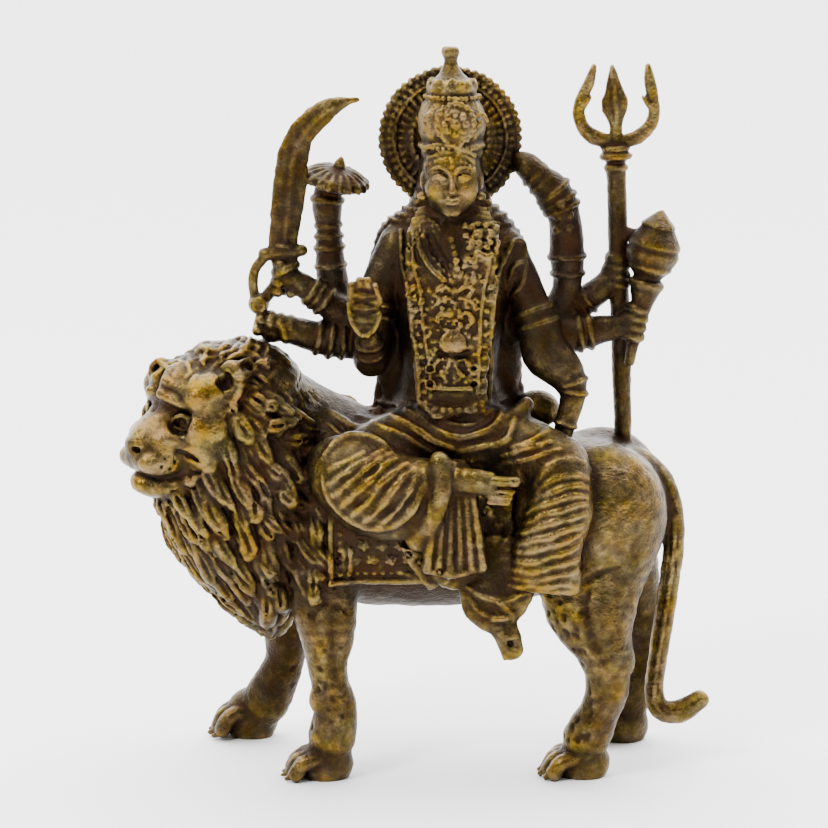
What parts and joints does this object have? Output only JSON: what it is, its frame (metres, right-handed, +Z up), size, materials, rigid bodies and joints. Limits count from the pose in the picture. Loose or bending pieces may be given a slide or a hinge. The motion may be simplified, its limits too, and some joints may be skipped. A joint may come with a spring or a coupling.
{
  "type": "durga figure",
  "caption": "Small cast brass figure of an eight-armed goddess seated sideways on a standing lion, free-standing on the lion's paws.",
  "frame": {"origin": "middle of the footprint box, on the ground under the paws", "axes": "+Z up, the front of the figure faces -Y, the lion walks towards -X"},
  "size_m": [0.0584, 0.0226, 0.073],
  "materials": {
    "antique_brass": "cast brass with a dark antique patina in the hollows, rubbed bright on the raised carving"
  },
  "bodies": {
    "root": {"durga_on_lion": "antique_brass"}
  },
  "joints": []
}
